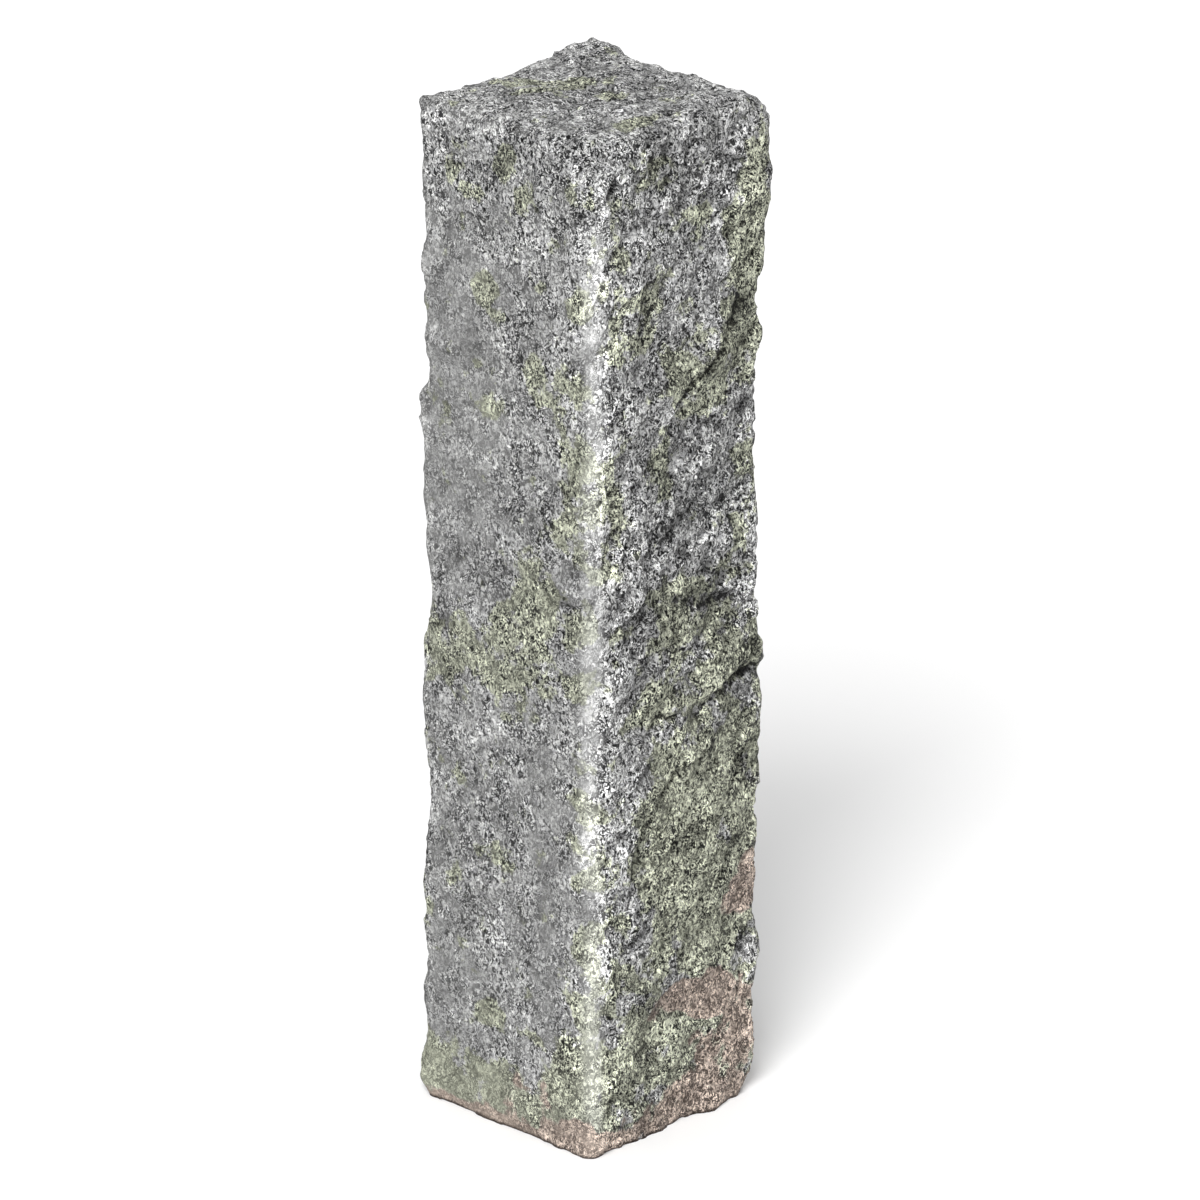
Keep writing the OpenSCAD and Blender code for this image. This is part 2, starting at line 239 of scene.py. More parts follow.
# Painted light in pale patches on the split's lit crowns, and over the whole head
PAINTED_LIGHT_PATCHES = [
    ("front", (1.0, 0.53), (0.2, 0.04), 0.5),
    ("front", (0.95, 0.85), (0.3, 0.05), 0.7),
    ("front", (0.95, 0.34), (0.3, 0.05), 1.0),
    ("front", (0.95, 0.12), (0.3, 0.09), 1.05),
    ("front", (0.35, 0.05), (0.5, 0.05), 0.4),
    ("right", (-0.08, 0.712), (0.2, 0.02), 0.8),
    ("right", (0.5, 0.705), (0.14, 0.02), 0.7),
    ("right", (0.55, 0.9), (0.16, 0.02), 0.6),
    ("right", (0.62, 0.475), (0.16, 0.013), 1.0),
    ("right", (-0.5, 0.35), (0.12, 0.035), 0.6),
    ("right", (0.1, 0.15), (0.16, 0.035), 0.8),
    ("right", (-0.15, 0.095), (0.12, 0.02), 1.3),
    ("right", (0.7, 0.83), (0.12, 0.03), 0.5),
    ("right", (0.3, 0.3), (0.8, 0.12), 0.6),
    ("right", (0.3, 0.87), (0.7, 0.07), 0.6),
    ("right", (0.4, 0.06), (0.8, 0.06), 0.8),
    ("right", (-0.72, 0.87), (0.2, 0.045), 1.0),
    ("right", (-0.85, 0.39), (0.2, 0.06), 0.5),
    ("right", (-0.75, 0.69), (0.3, 0.1), 0.35),
    ("right", (-0.75, 0.25), (0.3, 0.03), 0.4),
    ("right", (0.0, 0.05), (0.7, 0.05), 0.4),
    ("back", (-0.2, 0.5), (0.5, 0.05), 0.4),
    ("left", (-0.3, 0.65), (0.4, 0.04), 0.4),
    ("head", (0.0, 0.0), (1.2, 1.2), 0.62),
]
# Where the split is even and its minerals lie quietly together
CALM = [
    ("front", (-0.6, 0.72), (0.55, 0.16), 1.0),
    ("front", (-0.95, 0.88), (0.15, 0.06), 0.7),
    ("front", (0.42, 0.26), (0.2, 0.15), 0.75),
    ("front", (-0.7, 0.1), (0.5, 0.1), 0.7),
    ("front", (-0.5, 0.01), (0.75, 0.055), 1.7),
    ("front", (0.45, 0.05), (0.25, 0.05), 0.7),
    ("front", (0.58, 0.563), (0.15, 0.014), 1.3),
    ("front", (-0.7, 0.5), (0.5, 0.5), 0.3),
    ("right", (0.3, 0.28), (0.75, 0.15), 0.5),
    ("left", (0.4, 0.35), (0.5, 0.16), 0.9),
]


def hashed(cells, salt):
    """A random number from 0 to 1 for each whole-number cell. The same salt gives the same numbers again."""
    whole = cells.astype(np.int64).astype(np.uint32)
    mixed = whole[..., 0] * np.uint32(0x8DA6B343)
    mixed ^= whole[..., 1] * np.uint32(0xD8163841)
    mixed ^= whole[..., 2] * np.uint32(0xCB1AB31F)
    mixed ^= np.uint32(salt * 0x9E3779B9 % 2**32)
    for shift, factor in ((15, 0x2C1B3C6D), (12, 0x297A2D39)):
        mixed ^= mixed >> np.uint32(shift)
        mixed *= np.uint32(factor)
    mixed ^= mixed >> np.uint32(15)
    return mixed / 2.0**32


def block_of_cells(count):
    """The steps from a cell to every cell of a block that is count cells long each way."""
    return [np.array(step) for step in np.ndindex(count, count, count)]


def ease(share):
    """A share kept between 0 and 1, with a soft start and finish."""
    share = np.clip(share, 0, 1)
    return share * share * (3 - 2 * share)


def eased(value, start, full):
    """A share that goes softly from 0 to 1 as the value goes from its start to where it is full."""
    return ease((value - start) / (full - start))


def noise(points, pitch, salt):
    """Smooth noise from -1 to 1 whose forms are a pitch apart."""
    spots = points / pitch
    cell = np.floor(spots)
    share = ease(spots - cell)
    total = np.zeros(len(points))
    for corner in block_of_cells(2):
        weight = np.prod(np.where(corner == 1, share, 1 - share), axis=1)
        total += weight * hashed(cell + corner, salt)
    return 2 * total - 1


def split_facets(points, pitch, salt):
    """Height, from about -1 to 1, of tilted facets a pitch across, as stone breaks from grain to grain."""
    crispness = 36
    level_share, tilt_share = 0.55, 0.9
    spots = points / pitch
    cell = np.floor(spots)
    weights = np.zeros(len(points))
    heights = np.zeros(len(points))
    for step in block_of_cells(3):
        other = cell + step - 1
        offset = spots - other - np.stack([hashed(other, salt + i) for i in range(3)], axis=1)
        tilt = np.stack([hashed(other, salt + 3 + i) for i in range(3)], axis=1) * 2 - 1
        level = hashed(other, salt + 6) * 2 - 1
        weight = np.exp(-crispness * np.sum(offset * offset, axis=1))
        weights += weight
        heights += weight * (level_share * level + tilt_share * np.sum(offset * tilt, axis=1))
    return heights / weights


def shaken(points, pitch, salt, reach):
    """The points moved about by noise, so that a form drawn through them loses its straight lines."""
    return points + reach * np.stack([noise(points, pitch, salt + i) for i in range(3)], axis=1)


def slanted(points):
    """The points in a frame that draws a form out along the slope of the chips.

    Its lines climb to the right over the front and right faces, and to the left over the others.
    """
    level = points[:, 0] + points[:, 1]
    along = level * math.cos(CHIP_SLOPE) + points[:, 2] * math.sin(CHIP_SLOPE)
    across = points[:, 2] * math.cos(CHIP_SLOPE) - level * math.sin(CHIP_SLOPE)
    inward = (points[:, 0] - points[:, 1]) * CHIP_DEPTH_SHARE
    return np.stack([along / CHIP_STRETCH, across, inward], axis=1)


def upwards(face):
    """Which way a face's shares of up run, and how long a share of 1 is."""
    return (Y, HALF[1]) if face == "head" else (Z, HEIGHT)


def spot_on_face(face, across, up):
    """A spot on a face: across is -1 at its left and 1 at its right, and up is 0 at the foot or mid head."""
    up_way, up_length = upwards(face)
    start = MIDDLE if face == "head" else MIDDLE * (1, 1, 0)
    return start + FACE_WAY[face] * HALF + RIGHTWARDS[face] * across * HALF + up_way * up * up_length


def patches(points, share, table):
    """The strongest of a table's soft-edged patches at each point."""
    best = np.zeros(len(points))
    for face, (across, up), (wide, tall), strength in table:
        away = points - spot_on_face(face, across, up)
        up_way, up_length = upwards(face)
        sideways = away @ RIGHTWARDS[face] / (wide * HALF[0])
        up_or_down = away @ up_way / (tall * up_length)
        inside = eased(np.hypot(sideways, up_or_down), 1.5, 0.5)
        best = np.maximum(best, strength * inside * eased(share[face], 0, 0.4))
    return best


def crevice(points, face, line, depth, half_width, step):
    """A groove along a line of spots on a face, with a step up above it, and how far beside it a point is.

    The distance is 2 at the half width of the deepest groove, and more where a groove is faint or shallow.
    """
    flat = 1 - np.abs(FACE_WAY[face])
    spots = [spot_on_face(face, *spot) * flat for spot in line]
    points = points * flat
    nearest = np.full(len(points), np.inf)
    side = np.zeros(len(points))
    for start, finish in zip(spots, spots[1:]):
        along = finish - start
        share = np.clip((points - start) @ along / (along @ along), 0, 1)
        away = points - start - share[:, None] * along
        distance = np.linalg.norm(away, axis=1)
        across = np.cross(along, FACE_WAY[face])
        across *= math.copysign(1, across[2]) / np.linalg.norm(across)
        closer = distance < nearest
        nearest = np.where(closer, distance, nearest)
        side = np.where(closer, away @ across, side)
    width = half_width * MM * (1 + CREVICE_WIDTH_CHANGE * noise(points, pitch=10 * MM, salt=92))
    groove = -depth * MM * np.exp(-((nearest / width) ** 2))
    raised = np.exp(-((nearest / STEP_REACH) ** 2))
    ledge = step * MM * eased(side, -STEP_RISE, STEP_RISE) * raised
    strength = ease(0.2 + 0.38 * depth + noise(points, pitch=13 * MM, salt=90))  # shallow ones come and go
    faintness = 4 * (1 - strength) + 0.9 * (DEEPEST_CREVICE - depth)
    return (groove + ledge) * strength, 2 * nearest / width + faintness


class Skin:
    """The stone's surface as arrays, with what the relief needs to know of it."""

    def __init__(self, mesh):
        self.mesh = mesh
        count = len(mesh.vertices)
        self.points = np.empty(count * 3)
        mesh.vertices.foreach_get("co", self.points)
        self.points = self.points.reshape(-1, 3)
        ends = np.empty(len(mesh.edges) * 2, dtype=np.int64)
        mesh.edges.foreach_get("vertices", ends)
        self.starts, self.finishes = ends.reshape(-1, 2).T
        self.degree = np.bincount(self.starts, minlength=count) + np.bincount(self.finishes, minlength=count)

    def averaged(self, values, rounds):
        """Values mixed with those of the neighbouring points, round after round."""
        values = np.array(values, dtype=float)
        count = len(values)
        for _ in range(rounds):
            columns = values.reshape(count, -1)
            mixed = np.empty_like(columns)
            for i, column in enumerate(columns.T):
                total = np.bincount(self.starts, column[self.finishes], count)
                total += np.bincount(self.finishes, column[self.starts], count)
                mixed[:, i] = (column + total / self.degree) / 2
            values = mixed.reshape(values.shape)
        return values

    def write(self):
        """Puts the points into the mesh."""
        self.mesh.vertices.foreach_set("co", self.points.ravel())
        self.mesh.update()

    def normals(self):
        """Which way the surface looks at each point."""
        self.write()
        out = np.empty(len(self.mesh.vertices) * 3)
        self.mesh.vertex_normals.foreach_get("vector", out)
        return out.reshape(-1, 3)

    def store(self, name, values):
        """Keeps one value for each point, which the granite's material reads by its name."""
        layer = self.mesh.attributes.new(name, "FLOAT", "POINT")
        layer.data.foreach_set("value", np.asarray(values, dtype=np.float32))

    def store_vector(self, name, vectors):
        """Keeps one vector for each point, which the granite's material reads by its name."""
        layer = self.mesh.attributes.new(name, "FLOAT_VECTOR", "POINT")
        layer.data.foreach_set("vector", np.asarray(vectors, dtype=np.float32).ravel())


def finely_meshed(node):
    """A new object with the solid's shape, in small even squares."""
    stone = bpy.data.objects.new("granite_stone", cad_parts[node].data.copy())
    bpy.context.collection.objects.link(stone)
    stone.data.materials.clear()
    weld = stone.modifiers.new("weld", "WELD")
    weld.merge_threshold = WELD
    grid = stone.modifiers.new("grid", "REMESH")
    grid.mode = "VOXEL"
    grid.voxel_size = FACET
    fine = bpy.data.meshes.new_from_object(stone.evaluated_get(bpy.context.evaluated_depsgraph_get()))
    stone.modifiers.clear()
    stone.data = fine
    return stone


def past_arris(points, share, before, after):
    """How far each point lies past the arris between two faces: below nought before it, above after it."""
    beyond = []
    for face in (before, after):
        out = points @ FACE_WAY[face]
        on_flat = share[face] > 0.9
        beyond.append(out - np.median(out[on_flat]))
    return beyond[1] - beyond[0]


def worn_bands(points, share):
    """How worn and how bruised the stone is along the worn arris, from 0 to 1. Both bands also carry a
    painted highlight along the arris.
    """
    height = points[:, 2]
    past = past_arris(points, share, *WORN_ARRIS)
    for reach, pitch, salt in BAND_WANDERS:
        past += reach * noise(points, pitch, salt)
    for reach, begins, full in BAND_SWINGS:
        past += reach * eased(height / HEIGHT, begins, full)
    beside = eased(sum(share[face] for face in WORN_ARRIS), 0, 0.5)
    bands = []
    for (start, full, ending, end), (top, fade) in ((WORN_AND_HIGHLIT_BAND, WORN_AND_HIGHLIT_TOP), (BRUISED_AND_HIGHLIT_BAND, BRUISED_AND_HIGHLIT_TOP)):
        band = eased(past / MM, start, full) * eased(past / MM, end, ending)
        bands.append(band * beside * eased(height, top, top - fade))
    return bands


def split_relief(points, share, rough, on_arris):
    """Height of the chips and crevices over the solid, and how far each point is from a crevice."""
    loose = shaken(points, pitch=9 * MM, salt=50, reach=2.2 * MM)
    drawn = slanted(loose)
    height = np.zeros(len(points))
    for i, (pitch, rise, arris_keeps) in enumerate(CHIPS):
        kept = 1 - (1 - arris_keeps) * on_arris
        height += rise * rough * kept * split_facets(drawn, pitch, salt=100 + 20 * i)
    from_crevice = np.full(len(points), NO_CREVICE)
    for face, *form in CREVICES:
        relief, beside_it = crevice(loose, face, *form)
        near_face = eased(share[face], 0, 0.5)
        height += near_face * relief
        from_crevice = np.minimum(from_crevice, beside_it + NO_CREVICE * (1 - near_face))
    return height, from_crevice


def head_edges(share, on_rim):
    """How far the sharp corners of the head, and its rim on the left, stand out past the solid."""
    out = HEAD_RIM * on_rim["head"] * share["left"]
    for (before, after), stands_out in HEAD_CORNERS.items():
        meeting = 27 * share["head"] * share[before] * share[after]  # 1 where the three share a point evenly
        out += stands_out * ease(meeting)
    return out


def patch_marks(points, share, on_rim):
    """The algae and soil at each point, how calm its minerals lie, and how much painted light and painted
    shade its patches give it.
    """
    wavy = shaken(points, pitch=14 * MM, salt=80, reach=6 * MM)
    ragged = shaken(wavy, pitch=6 * MM, salt=84, reach=3 * MM)
    livelier, begins, full = LIVELY_TOP
    lively = livelier * eased(points[:, 2] / HEIGHT, begins, full) * share["front"]
    # Painted shade in dark patches and on the head's rim, painted light in pale patches
    painted_shade = patches(ragged, share, PAINTED_SHADE_PATCHES) + RIM_PAINTED_SHADE * on_rim["head"]
    return {
        "algae": patches(wavy, share, ALGAE),
        "soil": patches(wavy, share, SOIL),
        "calm": patches(wavy, share, CALM) - lively,
        "painted_light_and_shade": patches(wavy, share, PAINTED_LIGHT_PATCHES) - painted_shade,
    }


def hollow_marks(skin, at_edge):
    """How many mm each point lies below the stone around it, for small and for broad hollows."""
    normals = skin.normals()
    marks = {}
    for name, rounds in HOLLOW_ROUNDS.items():
        sunk = np.sum((skin.averaged(skin.points, rounds) - skin.points) * normals, axis=1)
        marks[name] = sunk / MM * (1 - at_edge)
    return marks


def split_stone():
    """The stone with its split relief, resting on a flat foot."""
    stone = finely_meshed(STONE_NODE)
    skin = Skin(stone.data)
    on_foot = skin.points[:, 2] < LOW[2] + FOOT_REACH
    sharp = skin.averaged(skin.points, EDGE_SMOOTHING_ROUNDS)
    skin.points = skin.averaged(skin.points, SMOOTHING_ROUNDS)
    normals = skin.averaged(skin.normals(), SMOOTHING_ROUNDS)
    normals /= np.linalg.norm(normals, axis=1)[:, None]

    # How much each point belongs to each face, from 0 to 1, and to the arrises and rims between them
    share = {face: np.clip(normals @ way, 0, 1) ** 2 for face, way in FACE_WAY.items()}
    on_arris = np.clip(sum(4 * share[before] * share[after] for before, after in ARRISES), 0, 1)
    on_rim = {face: ease(RIM_BREADTH * share[face] * (1 - share[face])) for face in ("head", "foot")}
    at_edge = np.clip(ease(ARRIS_BREADTH * on_arris) + on_rim["head"] + on_rim["foot"], 0, 1)

    points = skin.points + (sharp - skin.points) * at_edge[:, None]
    rough = sum(share[face] * roughness for face, roughness in FACE_ROUGHNESS.items())
    rough *= 1 + ROUGHNESS_CHANGE * noise(points, pitch=60 * MM, salt=40)
    # The worn band and the bruised band also carry a painted highlight along the arris
    worn, bruised_and_highlit = worn_bands(points, share)
    height, from_crevice = split_relief(points, share, rough, on_arris)
    height *= 1 - (1 - WORN_ARRIS_KEEPS) * worn
    height += GRAIN_RELIEF * noise(points, pitch=2.6 * MM, salt=60)
    height += head_edges(share, on_rim)

    skin.points = points + normals * height[:, None]
    skin.points[:, 2] = np.maximum(skin.points[:, 2], LOW[2])
    skin.points[on_foot, 2] = LOW[2]

    marks = {"worn": worn, "bruised_and_highlit": bruised_and_highlit, "from_crevice": from_crevice}
    marks["rough"] = np.clip(rough, LEAST_ROUGHNESS, 1)
    marks.update(hollow_marks(skin, at_edge))
    marks.update(patch_marks(points, share, on_rim))
    for name, values in marks.items():
        skin.store(name, values)
    skin.store_vector("drawn", slanted(points))
    skin.write()
    stone.data.polygons.foreach_set("use_smooth", [True] * len(stone.data.polygons))
    return stone


def place(tree, kind, sockets=None, **settings):
    """Adds a node, fills in its settings, and gives each named socket a value or a link."""
    made = tree.nodes.new(kind)
    for name, value in settings.items():
        setattr(made, name, value)
    for name, value in (sockets or {}).items():
        if isinstance(value, bpy.types.NodeSocket):
            tree.links.new(value, made.inputs[name])
        else:
            made.inputs[name].default_value = value
    return made


def calc(tree, operation, *values):
    """A value worked out from others by one Math node."""
    return place(tree, "ShaderNodeMath", dict(enumerate(values)), operation=operation).outputs[0]


def add(tree, first, second):
    return calc(tree, "ADD", first, second)


def minus(tree, first, second):
    return calc(tree, "SUBTRACT", first, second)


def times(tree, first, second):
    return calc(tree, "MULTIPLY", first, second)


def larger(tree, first, second):
    return calc(tree, "MAXIMUM", first, second)


def weighed(tree, base, marks, weights):
    """A base value with each named mark added to it, times its weight."""
    for name, weight in weights.items():
        base = add(tree, base, times(tree, marks[name], weight))
    return base


def vector_calc(tree, operation, first, second, output="Vector"):
    """A vector, or with output "Value" a value, worked out from two vectors."""
    return place(tree, "ShaderNodeVectorMath", {0: first, 1: second}, operation=operation).outputs[output]


def blended(tree, share, first, second, blend_type="MIX"):
    """Two colours mixed. Sockets 0, 6 and 7 of a Mix node are its share and its two colours."""
    sockets = {0: share, 6: first, 7: second}
    return place(tree, "ShaderNodeMix", sockets, data_type="RGBA", blend_type=blend_type).outputs[2]


def rescaled(tree, value, low, high, to_low=0.0, to_high=1.0):
    """A value moved softly from one range to another, and kept inside it."""
    sockets = {0: value, 1: low, 2: high, 3: to_low, 4: to_high}
    return place(tree, "ShaderNodeMapRange", sockets, interpolation_type="SMOOTHSTEP").outputs[0]


def ramp(tree, value, stops, interpolation="LINEAR"):
    """A colour ramp with its stops given as (value, colour)."""
    made = place(tree, "ShaderNodeValToRGB", {0: value})
    made.color_ramp.interpolation = interpolation
    elements = made.color_ramp.elements
    while len(elements) < len(stops):
        elements.new(1.0)
    for element, (at, colour) in zip(elements, stops):
        element.position = at
        element.color = (*colour, 1)
    return made.outputs[0]


def new_group(name, inputs, outputs):
    """An empty shader node group with named sockets: {name: (kind, default or None)}."""
    tree = bpy.data.node_groups.new(name, "ShaderNodeTree")
    for way, sockets in (("INPUT", inputs), ("OUTPUT", outputs)):
        for label, (kind, default) in sockets.items():
            socket = tree.interface.new_socket(label, in_out=way, socket_type="NodeSocket" + kind)
            if default is not None:
                socket.default_value = default
    return tree, tree.nodes.new("NodeGroupInput").outputs, tree.nodes.new("NodeGroupOutput").inputs


def grey(value):
    return (value, value, value)


def tinted(tree, colour, tint):
    """A colour multiplied by a plain tint."""
    return blended(tree, 1.0, colour, (*tint, 1), "MULTIPLY")


def scaled(tree, colour, factor):
    """A colour made lighter or darker by a value, which may change over the surface."""
    levels = place(tree, "ShaderNodeCombineColor", {0: factor, 1: factor, 2: factor}).outputs[0]
    return blended(tree, 1.0, colour, levels, "MULTIPLY")


NOISE_MIDDLE = 0.5  # the value that the noise of a texture gathers round


def clouds(tree, position, pitch, detail=3.0, roughness=0.5, distortion=0.0):
    """Noise whose forms are a pitch apart."""
    sockets = {
        "Vector": position,
        "Scale": 1 / pitch,
        "Detail": detail,
        "Roughness": roughness,
        "Distortion": distortion,
    }
    return place(tree, "ShaderNodeTexNoise", sockets).outputs[0]


def jostled(tree, position, pitch):
    """The position moved about by noise, so that cells a pitch apart interlock with crooked sides."""
    shove = place(tree, "ShaderNodeTexNoise", {"Vector": position, "Scale": 0.9 / pitch, "Detail": 2.0})
    shove = vector_calc(tree, "SUBTRACT", shove.outputs["Color"], grey(NOISE_MIDDLE))
    shove = place(tree, "ShaderNodeVectorMath", {0: shove, "Scale": 1.4 * pitch}, operation="SCALE")
    return vector_calc(tree, "ADD", position, shove.outputs[0])


def small_chips(tree, position, pitch, slope):
    """Height in mm of small flat chips with sharp edges, each tilted its own way."""
    cells = place(tree, "ShaderNodeTexVoronoi", {"Vector": position, "Scale": 1 / pitch}).outputs
    offset = vector_calc(tree, "SUBTRACT", position, cells["Position"])
    tilt = vector_calc(tree, "SUBTRACT", cells["Color"], grey(NOISE_MIDDLE))
    return times(tree, vector_calc(tree, "DOT_PRODUCT", offset, tilt, "Value"), slope / MM)


def seams(tree, position, pitch):
    """Thin broken lines where one chip lies over the next. The value is 1 along them."""
    line_edge, line_core = 0.022, 0.004  # how far the noise is from its middle value there
    gap, run = 0.48, 0.56  # values of a second noise at which a line is broken off and runs on
    level = clouds(tree, position, pitch, detail=2.0, distortion=0.6)
    away = calc(tree, "ABSOLUTE", minus(tree, level, NOISE_MIDDLE))
    running = rescaled(tree, clouds(tree, position, 0.8 * pitch, detail=1.0), gap, run)
    return times(tree, rescaled(tree, away, line_edge, line_core), running)


GRAIN_DRAW = (1.15, 1.15, 0.9)  # grains stand a little upright, as the block was split
BROKEN_GRAIN = 2.2 * MM  # distance from one broken grain to the next
WHOLE_GRAIN = 1.8 * MM
MICA_FLAKE = 2.2 * MM
MICA_CLUSTER = 9 * MM  # distance between the places where flakes gather
MICA_GATHERING = 0.35  # how strongly they do
MICA_EDGE, MICA_FULL = 0.734, 0.7615  # how high the flakes' noise is at a flake's edge and inside it
MICA_BOOK = 13 * MM  # distance between the large black crystals, which sit in pale feldspar
# Distances from a crystal's middle, as shares of that: where it is full, and where it ends
BOOK_FULL, BOOK_EDGE = 0.09, 0.13
BOOK_RAGGEDNESS = 0.5
FELDSPAR_FULL, FELDSPAR_EDGE = 0.15, 0.30
FELDSPAR_PALER = 0.32
GRAIN_STEP, MICA_SUNK = 0.12, 0.12  # how much higher one grain stands than another, and how deep mica lies

# Tone of the split surface, from the pits between grains, painted near black as their shade, to the crushed
# white of their crowns, which is partly painted light
SPLIT_TONES_PAINTED_LIGHT_AND_SHADE = [
    (0.37, grey(0.006)),
    (0.41, grey(0.045)),
    (0.44, grey(0.25)),
    (0.485, grey(0.51)),
    (0.54, grey(0.74)),
    (0.60, grey(0.89)),
]
# How each mineral changes that tone: smoky quartz, quartz, grey feldspar, white feldspar
MINERALS = [
    (0.0, (0.62, 0.62, 0.63)),
    (0.18, (0.82, 0.82, 0.82)),
    (0.45, (0.98, 0.98, 0.97)),
    (0.80, (1.18, 1.18, 1.16)),
]
MICA_COLOUR = (0.018, 0.018, 0.019)
CALM_TONE = (0.33, 0.33, 0.325)  # what all the minerals come near to where their contrast is low


def mineral_grains():
    """Interlocked quartz, feldspar and mica, as they show where stone was split and not polished. Low pits
    are painted dark as shade, high crowns pale as light.
    """
    tree, given, out = new_group(
        "mineral_grains",
        {"Position": ("Vector", None), "Contrast": ("Float", 1.0)},
        {"Color": ("Color", None), "Height": ("Float", None), "Mica": ("Float", None)},
    )
    position = given["Position"]

    broken = clouds(tree, position, BROKEN_GRAIN, detail=3.0, roughness=0.62, distortion=0.9)
    # The same noise gives the height, so low pits get painted shade and high crowns painted light
    colour = ramp(tree, broken, SPLIT_TONES_PAINTED_LIGHT_AND_SHADE)

    moved = jostled(tree, position, WHOLE_GRAIN)
    grains = place(tree, "ShaderNodeTexVoronoi", {"Vector": moved, "Scale": 1 / WHOLE_GRAIN})
    kinds = place(tree, "ShaderNodeSeparateColor", {0: grains.outputs["Color"]}).outputs
    colour = blended(tree, 1.0, colour, ramp(tree, kinds[0], MINERALS, "CONSTANT"), "MULTIPLY")

    flake = clouds(tree, moved, MICA_FLAKE, detail=1.0, distortion=1.6)
    gathered = times(tree, clouds(tree, position, MICA_CLUSTER, detail=2.0), MICA_GATHERING)
    flakes = rescaled(tree, add(tree, flake, gathered), MICA_EDGE, MICA_FULL)
    book = place(tree, "ShaderNodeTexVoronoi", {"Vector": moved, "Scale": 1 / MICA_BOOK}).outputs["Distance"]
    feldspar = rescaled(tree, book, FELDSPAR_EDGE, FELDSPAR_FULL)
    colour = scaled(tree, colour, add(tree, 1.0, times(tree, feldspar, FELDSPAR_PALER)))
    shreds = times(tree, minus(tree, flake, NOISE_MIDDLE), BOOK_RAGGEDNESS)
    books = rescaled(tree, minus(tree, book, shreds), BOOK_EDGE, BOOK_FULL)
    mica = larger(tree, flakes, books)
    colour = blended(tree, mica, colour, (*MICA_COLOUR, 1))

    tree.links.new(blended(tree, given["Contrast"], (*CALM_TONE, 1), colour), out["Color"])
    tree.links.new(mica, out["Mica"])
    height = add(tree, broken, times(tree, kinds[1], GRAIN_STEP))
    tree.links.new(minus(tree, height, times(tree, mica, MICA_SUNK)), out["Height"])
    return tree


# The marks that split_stone() keeps on the stone's points, each a value
MARKS = (
    "rough", "worn", "bruised_and_highlit", "from_crevice", "hollow", "broad_hollow",
    "algae", "soil", "painted_light_and_shade", "calm",
)

# How strongly the minerals differ: at least, where nothing changes it, and what each mark adds
LEAST_CONTRAST = 0.32
EVEN_CONTRAST = 0.5
CONTRAST_WEIGHTS = {"rough": 0.5, "algae": 0.1, "calm": -0.36, "worn": -0.28}
LIVELY_PITCH = 10 * MM
LIVELY_RANGE = (0.40, 0.55, -0.14, 0.27)  # of the noise, and what it adds to the contrast

# Paler and darker areas: (distance between them, detail, how much paler and darker)
MOTTLES = ((9 * MM, 3.0, 0.26), (24 * MM, 2.0, 0.2))
MOTTLE_NOISE = (0.3, 0.7)  # value of the noise where they are darkest and palest
SMOOTH_MOTTLE = 0.35  # how much of them shows on smooth stone
MOTTLE_WEIGHTS = {"rough": 0.85}
EVEN_LEVEL = 0.975
# The patches' painted light and painted shade make the stone lighter and darker
LEVEL_WEIGHTS = {"painted_light_and_shade": 0.24, "rough": 0.1}
# The bruised band is lighter, partly from wear and partly as a painted highlight
BRUISED_AND_HIGHLIT_WEIGHTS = {"bruised_and_highlit": 0.5}

# Rubbed stone is its own tone made lighter, with a share of the tone of crushed stone. This paleness is
# partly wear and partly a painted highlight along the arris.
RUBBED_AND_HIGHLIT_LIGHTER = 1.38
CRUSHED_SHARE = 0.42
CRUSHED_TONE = grey(0.76)
RUB_PITCH = 7 * MM
RUB_RANGE = (0.36, 0.60, 0.35, 1.0)  # of the noise, and how far the stone is rubbed there

# Dirt and painted shade: (value of a mark where the stone is unmarked, value where it is darkest, how much
# darker it is there).
# Small hollows and the cores of crevices get dirt and painted shade, the band beside each crevice a painted
# shadow.
HOLLOW_DIRT_AND_SHADE = (0.03, 0.42, 0.34)
CREVICE_PAINTED_SHADOW = (6.5, 1.0, 0.28)
CREVICE_DIRT_AND_SHADE = (2.4, 0.6, 0.86)
CREVICE_RAGGEDNESS = 14.0
RAGGED_PITCH = 3 * MM
SEAM_PITCH = 8 * MM
# Painted shade along the seams, where one chip lies over the next
SEAM_PAINTED_SHADE = 0.5
# Shade of broad hollows and light of crowns: (mm deep where it begins, where it is full, how much paler then)
HOLLOW_SHADE = (0.1, 1.6, -0.28)
CROWN_LIGHT = (-0.2, -1.4, 0.35)

# Relief finer than the mesh: heights in mm, and small chips as (distance from one to the next, slope)
PIT_PITCH = 1.0 * MM
PIT_HEIGHT = 0.7
GRAIN_HEIGHT = 2.0
SEAM_DEPTH = 0.4
SMALL_CHIPS = ((3.6 * MM, 0.9), (1.6 * MM, 0.7))

# Algae, soil and earth: how high their noise and mark are at an edge and inside it. For earth it is a height.
ALGAE_PITCH = 16 * MM
ALGAE_WEIGHTS = {"algae": 0.2}
ALGAE_EDGE, ALGAE_FULL = 0.60, 0.66
ALGAE_TINT = (0.97, 1.0, 0.80)
WORN_OFF_WEIGHTS = {"worn": -0.35}
DAMP_PITCH = 9 * MM
SOIL_UNEVENNESS = 1.4
SOIL_EDGE, SOIL_FULL = 1.14, 1.34
SOIL_TINT = (1.145, 0.955, 0.825)
SOIL_COLOUR = (0.40, 0.31, 0.262)
SOIL_COVER = 0.22  # how much of the stone under it the soil hides
EARTH_UNEVENNESS = 3 * MM
EARTH_EDGE, EARTH_FULL = 0.4 * MM, -1.2 * MM
EARTH_COLOUR = (0.045, 0.03, 0.024)
EARTH_COVER = 0.85

